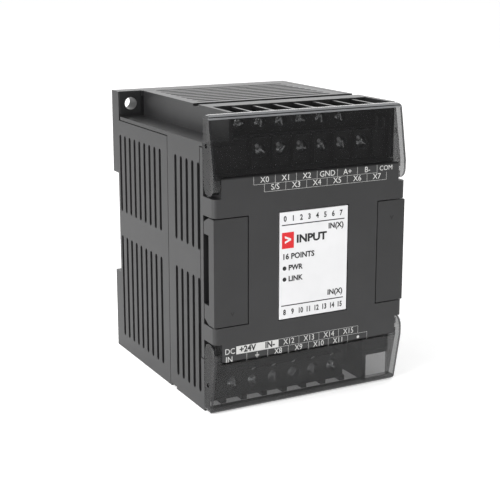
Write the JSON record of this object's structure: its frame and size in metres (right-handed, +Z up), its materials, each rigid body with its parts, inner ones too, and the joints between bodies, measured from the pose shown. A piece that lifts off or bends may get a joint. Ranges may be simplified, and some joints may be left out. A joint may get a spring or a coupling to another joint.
{
  "type": "plc input module",
  "caption": "Rail-mounted controller input module: vented dark casing, hinged smoked terminal covers, staggered screw terminals, white front label and plug-in bus caps",
  "frame": {"origin": "centre of the bounding box's bottom face, where the module stands on its underside", "axes": "+Z up (the tallest side), +X right seen from the front, +Y back towards the rail; the fascia faces -Y"},
  "size_m": [0.07, 0.082, 0.095],
  "materials": {
    "casing": "moulded ABS, fine spark-eroded grain, dark grey",
    "smoked_cover": "clear smoked polycarbonate, polished",
    "terminal_plastic": "black glass-filled nylon",
    "latch_plastic": "black acetal, satin",
    "label": "white printed polycarbonate insert",
    "light_guide": "clear acrylic light guide",
    "terminal_screw": "zinc-plated steel",
    "spring_wire": "drawn spring steel wire",
    "circuit_board": "green solder mask on glass epoxy",
    "component_black": "moulded epoxy and connector plastic",
    "component_grey": "potted module and ferrite",
    "component_can": "drawn aluminium can"
  },
  "bodies": {
    "casing": {"rear_housing": "casing", "front_housing": "casing", "front_panel": "casing", "front_label": "label", "light_guide": "light_guide", "upper_terminal_block": "terminal_plastic", "lower_terminal_block": "terminal_plastic", "left_bus_header": "component_black", "right_bus_header": "component_black", "latch_spring": "spring_wire", "display_board": "circuit_board", "io_board": "circuit_board", "power_board": "circuit_board", "front_stacking_connector": "component_black", "rear_stacking_connector": "component_black", "microcontroller": "component_black", "optocoupler_1": "component_black", "optocoupler_2": "component_black", "optocoupler_3": "component_black", "optocoupler_4": "component_black", "bus_transceiver": "component_black", "dc_converter": "component_grey", "input_choke": "component_grey", "electrolytic_capacitor_1": "component_can", "electrolytic_capacitor_2": "component_can", "input_fuse": "component_can", "upper_screw_front_1": "terminal_screw", "upper_screw_front_2": "terminal_screw", "upper_screw_front_3": "terminal_screw", "upper_screw_front_4": "terminal_screw", "upper_screw_front_5": "terminal_screw", "upper_screw_front_6": "terminal_screw", "upper_screw_back_1": "terminal_screw", "upper_screw_back_2": "terminal_screw", "upper_screw_back_3": "terminal_screw", "upper_screw_back_4": "terminal_screw", "upper_screw_back_5": "terminal_screw", "upper_screw_back_6": "terminal_screw", "lower_screw_front_1": "terminal_screw", "lower_screw_front_2": "terminal_screw", "lower_screw_front_3": "terminal_screw", "lower_screw_front_4": "terminal_screw", "lower_screw_front_5": "terminal_screw", "lower_screw_front_6": "terminal_screw", "lower_screw_back_1": "terminal_screw", "lower_screw_back_2": "terminal_screw", "lower_screw_back_3": "terminal_screw", "lower_screw_back_4": "terminal_screw", "lower_screw_back_5": "terminal_screw", "lower_screw_back_6": "terminal_screw"},
    "upper_cover": {"upper_terminal_cover": "smoked_cover"},
    "lower_cover": {"lower_terminal_cover": "smoked_cover"},
    "latch": {"rail_latch": "latch_plastic"},
    "left_cap": {"left_bus_cover": "casing"},
    "right_cap": {"right_bus_cover": "casing"}
  },
  "joints": [
    {"name": "upper_cover_hinge", "type": "hinge", "parent": "casing", "child": "upper_cover", "pos_m": [0, -0.0392, 0.0738], "axis": [1, 0, 0], "range_deg": [0, 95]},
    {"name": "lower_cover_hinge", "type": "hinge", "parent": "casing", "child": "lower_cover", "pos_m": [0, -0.0392, 0.02], "axis": [-1, 0, 0], "range_deg": [0, 95]},
    {"name": "latch_slide", "type": "slide", "parent": "casing", "child": "latch", "axis": [0, 0, -1], "range_m": [0, 0.005], "stiffness_N_per_m": 800, "springref_m": -0.003, "deforming": ["latch_spring"]},
    {"name": "left_cap_pull", "type": "slide", "parent": "casing", "child": "left_cap", "axis": [0, -1, 0], "range_m": [0, 0.01]},
    {"name": "right_cap_pull", "type": "slide", "parent": "casing", "child": "right_cap", "axis": [0, -1, 0], "range_m": [0, 0.01]}
  ]
}
